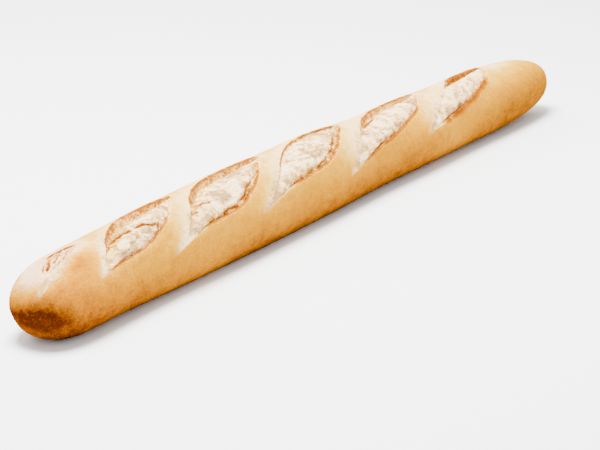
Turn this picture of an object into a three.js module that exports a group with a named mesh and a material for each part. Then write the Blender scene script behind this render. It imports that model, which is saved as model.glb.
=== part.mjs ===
// Baguette: a long white loaf, whole, with six slanting slashes that have opened in the oven.
// The loaf is one solid. It lies along X on a flat baked seat, with its crest towards +Z,
// and every slash runs from the loaf's -Y side near one end up and over the crest.
// Lengths are millimetres and angles are degrees.
import * as THREE from 'three';

// The loaf's overall form.
const LENGTH = 600;
const WIDTH = 59;
const HEIGHT = 52;
const BOW = 6.4; // how far the middle of the loaf is bent out towards +Y
const SECTION_POWER = 2.2; // 2 is an ellipse, and more is squarer
const SEAT = 0.9; // the seat lies this share of the half height below the loaf's axis

// Share of the full girth at even steps along the loaf.
const GIRTH = [0.955, 1.02, 1.065, 1.08, 1.06, 1.0, 0.985, 0.96, 0.94];
const GIRTH_REACH = 240; // the first and last girths are this far from the middle

// Each end rounds off over its length. Fullness rounds its shoulder, and bluntness its tip.
// Over its bend the loaf's axis rises to the tip's lift.
const NEAR_END = { length: 45, fullness: 2.5, bluntness: 2.7, lift: -1.4, bend: 70 };
const FAR_END = { length: 102, fullness: 2.5, bluntness: 4, lift: 1.9, bend: 90 };

// The slashes. Each is an opening laid on the skin along a line: x is the line's middle along the
// loaf, and across is that middle measured over the skin from the crest, towards -Y. The reaches
// are how far an edge lies from the line, at even steps between its two tips. At an edge the crust
// is torn up by its lip, and the torn wall there comes down by its depth over the wall's breadth.
// The lip is only high, and the wall deep, from the share of the length at which the edge opens.
const SLASHES = [
  {
    x: -270, across: 6.5, length: 57, heading: 23.9,
    near: { reaches: [0.8, 3, 3.2, 2.6, 2, 1.4, 0.8], lip: 0.2, wall: 1.7, depth: 0.5, opens: 0.1 },
    far: { reaches: [4.4, 10, 13.2, 13.6, 12.2, 9.4, 5.4], lip: 0.5, wall: 1.4, depth: 0.9, opens: 0.6 },
  },
  {
    x: -200.5, across: 12, length: 115, heading: 18.3,
    near: { reaches: [2.3, 6, 8.9, 10, 9.4, 7, 3.8], lip: 0.9, wall: 1.7, depth: 2.2, opens: 0.1 },
    far: { reaches: [8, 14.5, 17.5, 18.8, 16.2, 11.5, 5.4], lip: 1.5, wall: 2.6, depth: 3.8, opens: 0.14 },
  },
  {
    x: -118.5, across: 16.5, length: 144, heading: 17.4,
    near: { reaches: [0.3, 2.8, 8, 11.4, 11, 8, 4.2], lip: 0.9, wall: 1.7, depth: 2.2, opens: 0.1 },
    far: { reaches: [6, 14, 19.6, 21.2, 19.2, 14.4, 8.2], lip: 1.5, wall: 2.6, depth: 3.6, opens: 0.24 },
  },
  {
    x: -28, across: 17, length: 144, heading: 16.9,
    near: { reaches: [0.6, 3, 6.8, 10.8, 12.2, 9.6, 5.6], lip: 0.9, wall: 1.7, depth: 2.2, opens: 0.1 },
    far: { reaches: [4.6, 9.8, 15, 17.8, 18.6, 15, 8.6], lip: 0.9, wall: 1.3, depth: 1.4, opens: 0.22 },
  },
  {
    x: 74, across: 17.5, length: 142, heading: 19.3,
    near: { reaches: [0.4, 2.7, 5.9, 8.3, 9.9, 10.1, 6.6], lip: 0.9, wall: 1.7, depth: 2.2, opens: 0.1 },
    far: { reaches: [7, 15, 18.6, 20.2, 19.4, 15, 8], lip: 1.5, wall: 2.6, depth: 3.2, opens: 0.3 },
  },
  {
    x: 172.5, across: 15.5, length: 132, heading: 19,
    near: { reaches: [3, 5.8, 8.2, 10, 10.2, 9.8, 7.4], lip: 1.2, wall: 1.7, depth: 2.2, opens: 0.1 },
    far: { reaches: [5, 9.6, 12.8, 14.6, 15.6, 13.4, 7.6], lip: 1.5, wall: 2.6, depth: 3.2, opens: 0.55 },
  },
];
const LIP_REACH = 6; // how far back from its edge a lip swells the crust
const CROWN = 0.6; // how far the opened dough swells above the skin in the middle
const SHALLOW = 0.15; // the lip and the depth before an edge opens, as shares of the full ones
const FULL_REACH = 7; // a wall is shallower where its edge lies nearer to the line than this

// Slow lumps in the crust.
const LUMP_HEIGHT = 0.5;

// The mesh: rings along the loaf, and lines along its skin, close together where the slashes are.
const RINGS = 107;
const TOP_LINES = 43;
const UNDER_LINES = 12;
const TOP_FROM = -30;
const TOP_TO = 50;
const TIP_FOCUS = 1.6; // crowds the rings where the ends round off
const PROFILE_STEPS = 4000;
const LEAST_WALL = 0.05; // a wall's least breadth, where a slash narrows to its tips
const SNAP = 0.9; // a vertex this near to a slash's edge, or to its wall's foot, is moved onto it
const LEAST_REACH = 1.5; // where an edge lies nearer to its slash's line, nothing is moved

const NOMINAL_RADIUS = 28.5; // turns a distance across the skin into an angle
const SKIN_AROUND = 2 * Math.PI * NOMINAL_RADIUS;
const { clamp, lerp, smoothstep, degToRad } = THREE.MathUtils;

/** A smooth curve through values at even steps, as a function of the share of the way. */
function curveThrough(values) {
  const curve = new THREE.SplineCurve(values.map((value, i) => new THREE.Vector2(i, value)));
  return (share) => curve.getPoint(clamp(share, 0, 1)).y;
}

const girthCurve = curveThrough(GIRTH);
const slashes = SLASHES.map((slash) => ({
  ...slash,
  near: { ...slash.near, reachAt: curveThrough([0, ...slash.near.reaches, 0]) },
  far: { ...slash.far, reachAt: curveThrough([0, ...slash.far.reaches, 0]) },
}));

/** Share of the full section that the loaf has at x, with its rounded ends. */
function girthAt(x) {
  const near = clamp(1 - (x + LENGTH / 2) / NEAR_END.length, 0, 1);
  const far = clamp(1 - (LENGTH / 2 - x) / FAR_END.length, 0, 1);
  return (
    girthCurve((x + GIRTH_REACH) / (2 * GIRTH_REACH)) *
    (1 - near ** NEAR_END.fullness) ** (1 / NEAR_END.bluntness) *
    (1 - far ** FAR_END.fullness) ** (1 / FAR_END.bluntness)
  );
}

/** How far the loaf's axis is above its usual height at x. */
function rise(x) {
  const near = clamp(1 - (x + LENGTH / 2) / NEAR_END.bend, 0, 1);
  const far = clamp(1 - (LENGTH / 2 - x) / FAR_END.bend, 0, 1);
  return NEAR_END.lift * near ** 2 + FAR_END.lift * far ** 2;
}

/** The smooth skin at x, at a distance across it from the crest, before the slashes open. */
function smoothSkin(x, across) {
  const turn = across / NOMINAL_RADIUS;
  const [side, up] = [-Math.sin(turn), Math.cos(turn)];
  const roundness = Math.abs(side) ** SECTION_POWER + Math.abs(up) ** SECTION_POWER;
  const reach = girthAt(x) / roundness ** (1 / SECTION_POWER);
  const bend = BOW * (1 - ((2 * x) / LENGTH) ** 2);
  return new THREE.Vector3(
    x,
    bend + (reach * side * WIDTH) / 2,
    ((SEAT + reach * up) * HEIGHT) / 2 + rise(x),
  );
}

/** The skin's outward direction there, from its slopes along the loaf and around it. */
function outward(x, across) {
  const step = 0.5;
  const inside = LENGTH / 2 - step;
  const middle = clamp(x, -inside, inside);
  const along = smoothSkin(middle + step, across).sub(smoothSkin(middle - step, across));
  const around = smoothSkin(middle, across - step).sub(smoothSkin(middle, across + step));
  return along.cross(around).normalize();
}

/** Where a point of the skin lies in a slash, and how far outside the edge on its side. */
function inSlash(slash, x, across) {
  const heading = degToRad(slash.heading);
  const dx = x - slash.x;
  const da = across - slash.across;
  const along = (dx * Math.cos(heading) - da * Math.sin(heading)) / slash.length + 0.5;
  const offset = dx * Math.sin(heading) + da * Math.cos(heading);
  const edge = offset > 0 ? slash.near : slash.far;
  const reach = Math.max(edge.reachAt(along), 0);
  const past = Math.max(0, -along, along - 1) * slash.length;
  const outside = past > 0 ? Math.hypot(past, offset) : Math.abs(offset) - reach;
  const wall = clamp(reach / 2, LEAST_WALL, edge.wall);
  return { along, edge, reach, outside, wall };
}

/** How far a slash lifts the skin or sinks it there. */
function slashRelief(slash, x, across) {
  const { along, edge, reach, outside, wall } = inSlash(slash, x, across);
  const strength = smoothstep(along, 0, 0.22) * smoothstep(1 - along, 0, 0.07);
  const opened = lerp(SHALLOW, 1, smoothstep(along, edge.opens - 0.12, edge.opens + 0.12));
  const lip = edge.lip * opened * strength;
  if (outside >= 0) return lip * Math.exp(-((outside / LIP_REACH) ** 2));
  const depth = edge.depth * opened * smoothstep(reach, 0, FULL_REACH);
  const inwards = clamp((-outside - wall) / Math.max(reach - wall, 0.1), 0, 1);
  const dough = (depth + CROWN) * (1 - (1 - inwards) ** 2) - depth;
  return lerp(lip, dough * strength, smoothstep(-outside, 0, wall));
}

/** Slow unevenness of the whole crust. */
function lumps(x, across) {
  return (
    LUMP_HEIGHT *
    (Math.sin(x / 31 + 1.3) * Math.cos(across / 17) + 0.6 * Math.sin(x / 19 - across / 11))
  );
}

/** The finished skin at x and across, with its slashes and lumps. */
function skin(x, across) {
  const relief = slashes.reduce((sum, slash) => sum + slashRelief(slash, x, across), 0);
  const topShare = smoothstep(Math.cos(across / NOMINAL_RADIUS), -0.6, 0);
  const height = (relief + lumps(x, across)) * topShare * smoothstep(girthAt(x), 0, 0.7);
  const point = smoothSkin(x, across).addScaledVector(outward(x, across), height);
  point.z = Math.max(point.z, 0);
  return point;
}

/** Moves a point of the skin onto a slash's edge or its wall's foot, if it is close to one. */
function snapToEdge(x, across) {
  const step = 0.05;
  for (const slash of slashes) {
    const { outside, reach, wall } = inSlash(slash, x, across);
    const hasFoot = reach > 2 * wall + 1;
    const excess = hasFoot && outside < -wall / 2 ? outside + wall : outside;
    if (Math.abs(excess) > SNAP || reach < LEAST_REACH) continue;
    const slopeX = (inSlash(slash, x + step, across).outside - outside) / step;
    const slopeA = (inSlash(slash, x, across + step).outside - outside) / step;
    const steepness = slopeX ** 2 + slopeA ** 2;
    return [x - (excess * slopeX) / steepness, across - (excess * slopeA) / steepness];
  }
  return [x, across];
}

/** The rings' places along X, at even steps over the loaf's profile. */
function ringPlaces() {
  const xs = [];
  const reached = [0];
  for (let i = 0; i <= PROFILE_STEPS; i++) {
    xs.push(LENGTH * (i / PROFILE_STEPS - 0.5));
    if (i === 0) continue;
    const growth = ((girthAt(xs[i]) - girthAt(xs[i - 1])) * WIDTH) / 2;
    reached.push(reached[i - 1] + Math.hypot(xs[i] - xs[i - 1], TIP_FOCUS * growth));
  }
  const places = [];
  let i = 0;
  for (let ring = 1; ring <= RINGS; ring++) {
    const wanted = (reached[PROFILE_STEPS] * ring) / (RINGS + 1);
    while (reached[i + 1] < wanted) i++;
    const share = (wanted - reached[i]) / (reached[i + 1] - reached[i]);
    places.push(lerp(xs[i], xs[i + 1], share));
  }
  return places;
}

/** The lines' distances across the skin, once round the loaf. */
function linePlaces() {
  const places = [];
  for (let i = 0; i < TOP_LINES; i++) places.push(lerp(TOP_FROM, TOP_TO, i / TOP_LINES));
  for (let i = 0; i < UNDER_LINES; i++) {
    places.push(lerp(TOP_TO, TOP_FROM + SKIN_AROUND, i / UNDER_LINES));
  }
  return places;
}

/** The loaf's closed mesh: a skin of rings and lines, and a fan of triangles at each tip. */
function loafGeometry() {
  const rings = ringPlaces();
  const lines = linePlaces();
  const points = [];
  for (const x of rings) {
    for (const across of lines) points.push(skin(...snapToEdge(x, across)));
  }
  const nearTip = points.push(smoothSkin(-LENGTH / 2, 0)) - 1;
  const farTip = points.push(smoothSkin(LENGTH / 2, 0)) - 1;

  const count = lines.length;
  const at = (ring, line) => ring * count + (line % count);
  const triangles = [];
  for (let line = 0; line < count; line++) {
    for (let ring = 0; ring + 1 < rings.length; ring++) {
      // The diagonal runs the way the slashes do.
      const [a, b] = [at(ring, line), at(ring, line + 1)];
      const [c, d] = [at(ring + 1, line), at(ring + 1, line + 1)];
      triangles.push(a, b, c, c, b, d);
    }
    triangles.push(nearTip, at(0, line + 1), at(0, line));
    triangles.push(farTip, at(rings.length - 1, line), at(rings.length - 1, line + 1));
  }

  const geometry = new THREE.BufferGeometry().setFromPoints(points);
  geometry.setIndex(triangles);
  geometry.computeBoundingBox();
  const middle = geometry.boundingBox.getCenter(new THREE.Vector3());
  geometry.translate(-middle.x, -middle.y, -geometry.boundingBox.min.z);
  geometry.computeVertexNormals();
  return geometry;
}

const crust = new THREE.MeshStandardMaterial({
  color: new THREE.Color().setRGB(0.87, 0.64, 0.37, THREE.SRGBColorSpace),
  roughness: 0.75,
  metalness: 0,
});

const loaf = new THREE.Mesh(loafGeometry(), crust);
loaf.name = 'loaf';

const baguette = new THREE.Group();
baguette.add(loaf);
export default baguette;
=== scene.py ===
"""The dressed baguette: golden crust, dough burst from its slashes, flour, and the light it lies in.

The loaf's skin is worked out on a flat pattern, as if it were unrolled. A place on the pattern has
x, along the loaf from its middle, and across, measured over the skin from the crest and positive
towards -Y. Sizes on the pattern are millimetres, and the finished meshes are metres.
"""
from __future__ import annotations

import itertools
import logging
import math
from dataclasses import dataclass
from enum import Enum
from functools import cached_property
from typing import Any, Iterator, Sequence

import bmesh
import bpy
import numpy as np
from mathutils import Matrix, Vector
from mathutils.geometry import delaunay_2d_cdt
from numpy.typing import NDArray

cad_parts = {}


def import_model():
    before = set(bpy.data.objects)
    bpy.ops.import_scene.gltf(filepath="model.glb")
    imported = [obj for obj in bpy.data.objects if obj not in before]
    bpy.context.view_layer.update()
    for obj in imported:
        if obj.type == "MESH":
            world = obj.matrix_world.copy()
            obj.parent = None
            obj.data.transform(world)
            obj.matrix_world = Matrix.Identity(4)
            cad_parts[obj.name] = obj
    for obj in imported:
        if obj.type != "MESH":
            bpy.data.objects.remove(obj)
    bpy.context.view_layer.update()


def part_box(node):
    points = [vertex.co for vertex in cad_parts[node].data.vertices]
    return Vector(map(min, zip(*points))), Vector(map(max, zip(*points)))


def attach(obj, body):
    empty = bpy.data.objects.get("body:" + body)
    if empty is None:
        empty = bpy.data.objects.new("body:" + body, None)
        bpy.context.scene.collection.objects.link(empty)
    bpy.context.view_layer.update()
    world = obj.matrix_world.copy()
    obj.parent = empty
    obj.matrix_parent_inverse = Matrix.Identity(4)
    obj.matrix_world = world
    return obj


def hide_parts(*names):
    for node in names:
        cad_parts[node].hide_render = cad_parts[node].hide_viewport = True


Values = NDArray[np.float64]
Triangles = list[tuple[int, ...]]
Colour = tuple[float, float, float]
Span = tuple[float, float]

LOG = logging.getLogger("baguette")
MM = 0.001
NODE = "loaf"
BODY = "root"
# Points closer than this are one point, in whatever unit they have.
SAME_SPOT = 1e-6


def smooth_step(values: Values, start: float, end: float) -> Values:
    """How far values have come from start to end, eased at both.

    Args:
        values: The values to place.
        start: Where the share is 0.
        end: Where the share is 1. It may be below start.

    Returns:
        Shares from 0 to 1.
    """
    share = np.clip((values - start) / (end - start), 0.0, 1.0)
    return share**2 * (3.0 - 2.0 * share)


def window(values: Values, rise: Span, fall: Span) -> Values:
    """Shares that come up over rise and go down over fall, each given from its 0 to its 1."""
    return smooth_step(values, *rise) * smooth_step(values, *fall)


def hump(values: Values, middle: float | Values, half_width: float | Values) -> Values:
    """A rounded hump of height 1 over middle, which fades over half_width to either side."""
    return np.exp(-(((values - middle) / half_width) ** 2))


def blend(start: Any, end: Any, share: Any) -> Any:
    """The value at share of the way from start to end."""
    return start + (end - start) * share


def smooth_curve(knots: Sequence[float], along: Values) -> Values:
    """A smooth curve through knots at even steps, at shares of the way along them."""
    heights = np.array(knots)
    last = len(heights) - 1
    way = np.clip(along, 0.0, 1.0) * last
    start = np.minimum(way.astype(int), last)
    share = way - start
    before, here, after, beyond = (heights[np.clip(start + step, 0, last)] for step in (-1, 0, 1, 2))
    rise, next_rise = (after - before) / 2.0, (beyond - here) / 2.0
    return (
        (2.0 * here - 2.0 * after + rise + next_rise) * share**3
        + (-3.0 * here + 3.0 * after - 2.0 * rise - next_rise) * share**2
        + rise * share
        + here
    )


def triangulated(points: Values, edges: Sequence[tuple[int, int]] = ()) -> tuple[Values, Triangles]:
    """Joins points of a plane into triangles.

    Args:
        points: One row of two coordinates for each point.
        edges: Pairs of points that have to be joined.

    Returns:
        The points, with the ones added where edges cross, and the triangles.
    """
    flat = [Vector(point) for point in points]
    places, _, faces, *_ = delaunay_2d_cdt(flat, list(edges), [], 0, SAME_SPOT, False)
    return np.array([tuple(place) for place in places]), [tuple(face) for face in faces]


def placed(name: str, data: Any) -> bpy.types.Object:
    """Makes an object of some data and adds it to the scene."""
    made = bpy.data.objects.new(name, data)
    bpy.context.scene.collection.objects.link(made)
    return made


class Noise:
    """Smooth seeded unevenness in space, worked out for many points at once.

    Attributes:
        SIZE: How many entries the lattice has.
        GAIN: Brings the values up to between -1 and 1.
        LAYER_SHIFT: Keeps the layers of plain noise apart.
        PILLOW_SHIFT: Keeps the layers of pillows apart.
        PILLOW_GAIN: Brings the pillows up.
        PILLOW_MEAN: Takes their mean height off.
    """

    SIZE = 256
    GAIN = 1.6
    LAYER_SHIFT = 31.7
    PILLOW_SHIFT = 17.3
    PILLOW_GAIN = 2.0
    PILLOW_MEAN = 0.6

    def __init__(self, seed: int) -> None:
        """Draws the noise's lattice.

        Args:
            seed: Picks one of the possible lattices.
        """
        draw = np.random.default_rng(seed)
        self._order = draw.permutation(self.SIZE)
        slopes = draw.normal(size=(self.SIZE, 3))
        self._slopes = slopes / np.linalg.norm(slopes, axis=1, keepdims=True)

    def _pick(self, cell: NDArray[np.int64]) -> NDArray[np.int64]:
        """The lattice entry of each cell corner."""
        index = cell[:, 0] % self.SIZE
        for axis in (1, 2):
            index = (self._order[index] + cell[:, axis]) % self.SIZE
        return self._order[index]

    def at(self, points: Values, size: float) -> Values:
        """The noise at some points.

        Args:
            points: One row of three coordinates for each point.
            size: The breadth of a hill or a hollow, in the points' unit.

        Returns:
            Values around 0, mostly between -1 and 1.
        """
        scaled = points / size
        cell = np.floor(scaled).astype(np.int64)
        inside = scaled - cell
        fade = inside**3 * (inside * (inside * 6.0 - 15.0) + 10.0)
        total = np.zeros(len(points))
        for corner in itertools.product((0, 1), repeat=3):
            step = np.array(corner)
            weight = np.prod(np.where(step, fade, 1.0 - fade), axis=1)
            slope = self._slopes[self._pick(cell + step)]
            total += weight * np.sum(slope * (inside - step), axis=1)
        return total * self.GAIN

    def pillows(self, points: Values, size: float, layers: int) -> Values:
        """Rounded hills with sharp creases between them, finer and lower in each layer."""
        total = np.zeros(len(points))
        for layer in range(layers):
            hills = np.abs(self.at(points + self.PILLOW_SHIFT * layer, size / 2**layer))
            total += (hills * self.PILLOW_GAIN - self.PILLOW_MEAN) / 2**layer
        return total

    def layered(self, points: Values, size: float, layers: int) -> Values:
        """Noise with finer layers on top, each half as large and half as high as the last."""
        total = np.zeros(len(points))
        for layer in range(layers):
            total += self.at(points + self.LAYER_SHIFT * layer, size / 2**layer) / 2**layer
        return total


@dataclass(frozen=True)
class Ripple:
    """One kind of unevenness in a slash.

    Attributes:
        noise: The noise that it is taken from.
        size: The breadth of a hill.
        layers: How many finer layers lie on top of each other.
        stretch: How much longer than broad a hill is, along the slash.
        creased: Whether there are sharp creases between the hills.
    """

    noise: Noise
    size: float
    layers: int
    stretch: float = 1.0
    creased: bool = False

    def at(self, points: Values) -> Values:
        """The unevenness at some points."""
        kind = self.noise.pillows if self.creased else self.noise.layered
        return kind(points, self.size, self.layers)


# How edges and folds tear, and the roughness of crust and dough.
TEAR = Noise(11)
GRAIN = Noise(23)


@dataclass(frozen=True)
class EndForm:
    """How one end of the loaf rounds off.

    Attributes:
        length: How far from the tip the rounding starts.
        fullness: Rounds the shoulder more, the higher it is.
        bluntness: Flattens the tip more, the higher it is.
    """

    length: float
    fullness: float
    bluntness: float

    def share(self, from_tip: Values) -> Values:
        """The share of the loaf's girth that is left at a distance from the tip."""
        rounding = np.clip(1.0 - from_tip / self.length, 0.0, 1.0)
        return (1.0 - rounding**self.fullness) ** (1.0 / self.bluntness)


@dataclass(frozen=True)
class LoafForm:
    """The loaf's smooth form, before its slashes open.

    Attributes:
        length: From tip to tip.
        width: The full section's width.
        height: The full section's height, before the seat flattens it.
        bow: How far the middle is bent out towards +Y.
        section_power: 2 is an ellipse, and more is squarer.
        seat: The seat lies this share of the half height below the axis.
        girths: Shares of the full section at even steps along the loaf.
        girth_reach: The first and last girths are this far from the middle.
        near_drop: How far the near tip hangs below the loaf's axis.
        near_drop_reach: How far from that tip the drop starts.
        far_lift: How far the far tip rises above the axis.
        far_lift_reach: How far from that tip the lift starts.
        near_end: The blunter end, at -X.
        far_end: The more tapered end, at +X.
        radius: Turns a distance across the skin into an angle.
        PROFILE_STEPS: How finely the profile's length is measured.
        SLOPE_STEP: Slopes are measured over this far to either side.
    """

    length: float
    width: float = 59.0
    height: float = 52.0
    bow: float = 6.4
    section_power: float = 2.2
    seat: float = 0.9
    girths: tuple[float, ...] = (0.955, 1.02, 1.065, 1.08, 1.06, 1.0, 0.985, 0.96, 0.94)
    girth_reach: float = 240.0
    near_drop: float = 1.4
    near_drop_reach: float = 70.0
    far_lift: float = 1.9
    far_lift_reach: float = 90.0
    near_end: EndForm = EndForm(length=45.0, fullness=2.5, bluntness=2.7)
    far_end: EndForm = EndForm(length=102.0, fullness=2.5, bluntness=4.0)
    radius: float = 28.5

    PROFILE_STEPS = 4000
    SLOPE_STEP = 0.5

    @property
    def half_round(self) -> float:
        """The distance over the skin from the crest to the middle of the seat."""
        return math.pi * self.radius

    def girth_at(self, x: Values) -> Values:
        """The share of the full section that the loaf has at x."""
        body = smooth_curve(self.girths, (x + self.girth_reach) / (2.0 * self.girth_reach))
        near = self.near_end.share(x + self.length / 2.0)
        far = self.far_end.share(self.length / 2.0 - x)
        return body * near * far

    def smooth(self, x: Values, across: Values) -> Values:
        """The smooth skin's points at x and across, one row each."""
        turn = across / self.radius
        side, up = -np.sin(turn), np.cos(turn)
        roundness = np.abs(side) ** self.section_power + np.abs(up) ** self.section_power
        reach = self.girth_at(x) / roundness ** (1.0 / self.section_power)
        bend = self.bow * (1.0 - (2.0 * x / self.length) ** 2)
        y = bend + reach * side * self.width / 2.0
        z = (self.seat + reach * up) * self.height / 2.0 + self._rise(x)
        return np.column_stack((x, y, z))

    def _rise(self, x: Values) -> Values:
        """How far the loaf's axis is above its usual height at x."""
        near = np.clip(1.0 - (x + self.length / 2.0) / self.near_drop_reach, 0.0, 1.0)
        far = np.clip(1.0 - (self.length / 2.0 - x) / self.far_lift_reach, 0.0, 1.0)
        return self.far_lift * far**2 - self.near_drop * near**2

    def outward(self, x: Values, across: Values) -> Values:
        """The smooth skin's outward directions at x and across, one row each."""
        step = self.SLOPE_STEP
        inner = self.length / 2.0 - step
        middle = np.clip(x, -inner, inner)
        along = self.smooth(middle + step, across) - self.smooth(middle - step, across)
        around = self.smooth(middle, across - step) - self.smooth(middle, across + step)
        normal = np.cross(along, around)
        return normal / np.linalg.norm(normal, axis=1, keepdims=True)

    @cached_property
    def _profile(self) -> tuple[Values, Values]:
        """Places along the loaf, and the way to each over the profile from the near tip."""
        turns = np.linspace(0.0, math.pi, self.PROFILE_STEPS)
        xs = -np.cos(turns) * self.length / 2.0
        rises = np.diff(self.girth_at(xs)) * self.width / 2.0
        ways = np.concatenate(([0.0], np.cumsum(np.hypot(np.diff(xs), rises))))
        return xs, ways

    @property
    def profile_length(self) -> float:
        """The way over the profile from tip to tip."""
        return float(self._profile[1][-1])

    def way_to(self, x: Values) -> Values:
        """The way over the profile from the near tip to x."""
        return np.interp(x, *self._profile)

    def x_at(self, way: Values) -> Values:
        """The place along the loaf after a way over the profile from the near tip."""
        xs, ways = self._profile
        return np.interp(way, ways, xs)

    def way_at_girth(self, girth: float) -> tuple[float, float]:
        """The ways from the near tip to the two places where the ends have this girth."""
        xs, ways = self._profile
        full = np.flatnonzero(self.girth_at(xs) >= girth)
        return float(ways[full[0]]), float(ways[full[-1]])


class Side(Enum):
    """The two edges of a slash.

    Attributes:
        FAR: The edge on the +Y side.
        NEAR: The edge on the -Y side.
    """

    FAR = -1
    NEAR = 1


@dataclass(frozen=True)
class Edge:
    """One torn edge of a slash.

    Attributes:
        reaches: How far it lies from the slash's line, at even steps between the two tips.
        lip: How high the crust is torn up along it.
        overhang: How far the lip leans in over the opening.
        toast: How strongly the lip is browned, up to 1.
        band: How far the browning runs back over the crust.
        wall: The breadth of the torn wall under it.
        depth: How far that wall comes down.
        wall_toast: How strongly the wall is browned, up to 1.
        opens: Where the wall gets its full depth, as a share of the slash's length.
        torn: How far in from the edge the dough is torn open and shows its crumb.
        browned_from: Where its browning starts, as a share of the slash's length.
        browned_to: Where its browning ends.
        LEAST_WALL: The narrowest torn wall, at the slash's tips.
    """

    reaches: tuple[float, ...]
    lip: float
    overhang: float
    toast: float
    band: float
    wall: float
    depth: float
    wall_toast: float
    opens: float
    torn: float
    browned_from: float
    browned_to: float

    LEAST_WALL = 0.05

    def reach_at(self, along: Values) -> Values:
        """How far the edge lies from the slash's line, at shares of its length."""
        return np.maximum(smooth_curve((0.0, *self.reaches, 0.0), along), 0.0)

    def wall_at(self, reach: Values) -> Values:
        """The breadth of the torn wall, which narrows towards the slash's tips."""
        return np.clip(reach / 2.0, self.LEAST_WALL, self.wall)


@dataclass(frozen=True)
class Place:
    """Where some points of the pattern lie in one slash.

    Attributes:
        edges: The slash's edges by side.
        along: Share of the slash's length.
        run: The same in millimetres from the slash's middle.
        offset: Distance from the slash's line, positive on the near side.
        near: Whether the point is on the near side.
        reach: How far the edge is from the line there.
        outside: How far the point is outside the edge, and negative in the opening.
        wall: The breadth of the torn wall there.
        strength: How far the slash has opened there, from 0 to 1.
    """

    edges: dict[Side, Edge]
    along: Values
    run: Values
    offset: Values
    near: NDArray[np.bool_]
    reach: Values
    outside: Values
    wall: Values
    strength: Values

    @property
    def inside(self) -> NDArray[np.bool_]:
        """Whether the point is in the opening."""
        return self.outside < 0.0

    @property
    def beyond(self) -> Values:
        """How far out on the crust the point is, and 0 in the opening."""
        return np.maximum(self.outside, 0.0)

    @property
    def depth_share(self) -> Values:
        """How far down the torn wall the point is: 0 at the edge, and 1 at the wall's foot."""
        return -self.outside / self.wall

    def pick(self, name: str) -> Values:
        """One of the edges' sizes, for the side that each point is on."""
        near, far = (float(getattr(self.edges[side], name)) for side in (Side.NEAR, Side.FAR))
        return np.where(self.near, near, far)


@dataclass(frozen=True)
class Fold:
    """A torn ridge in the opened dough, with a crack along its foot.

    Attributes:
        start: Its first end, as a share along the slash and an offset from the slash's line.
        end: Its other end, given alike.
        height: How high the ridge stands.
        breadth: How broad the ridge is.
        toast: How strongly the crack is browned.
        WANDER: The unevenness of its line.
        WANDER_REACH: How far its line strays.
        RISE: The shares of its length over which it comes up.
        FALL: The shares over which it goes down again.
        CRACK_OFFSET: Where the crack is, in breadths from the ridge's foot.
        CRACK_BREADTH: How broad the crack is, in breadths of the ridge.
        CRACK_DEPTH: How deep it is, in heights of the ridge.
    """

    start: tuple[float, float]
    end: tuple[float, float]
    height: float
    breadth: float
    toast: float

    WANDER = Ripple(TEAR, size=7.0, layers=2)
    WANDER_REACH = 1.3
    RISE = (-0.05, 0.2)
    FALL = (1.05, 0.8)
    CRACK_OFFSET = -0.3
    CRACK_BREADTH = 0.55
    CRACK_DEPTH = 0.7

    def shape(self, slash: Slash, place: Place) -> tuple[Values, Values]:
        """Its height over the dough, and how browned its crack is."""
        ends = (self.start, self.end)
        start, end = (np.array(((share - 0.5) * slash.length, offset)) for share, offset in ends)
        way = end - start
        length = float(np.hypot(*way))
        run, offset = place.run - start[0], place.offset - start[1]
        along = (run * way[0] + offset * way[1]) / length**2
        wander = slash.uneven(self.WANDER, place.run, place.offset)
        aside = (run * way[1] - offset * way[0]) / length + self.WANDER_REACH * wander
        held = window(along, self.RISE, self.FALL)
        ridge = hump(aside, self.breadth, self.breadth)
        crack = hump(aside, self.CRACK_OFFSET * self.breadth, self.CRACK_BREADTH * self.breadth)
        return self.height * held * (ridge - self.CRACK_DEPTH * crack), self.toast * held * crack


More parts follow.
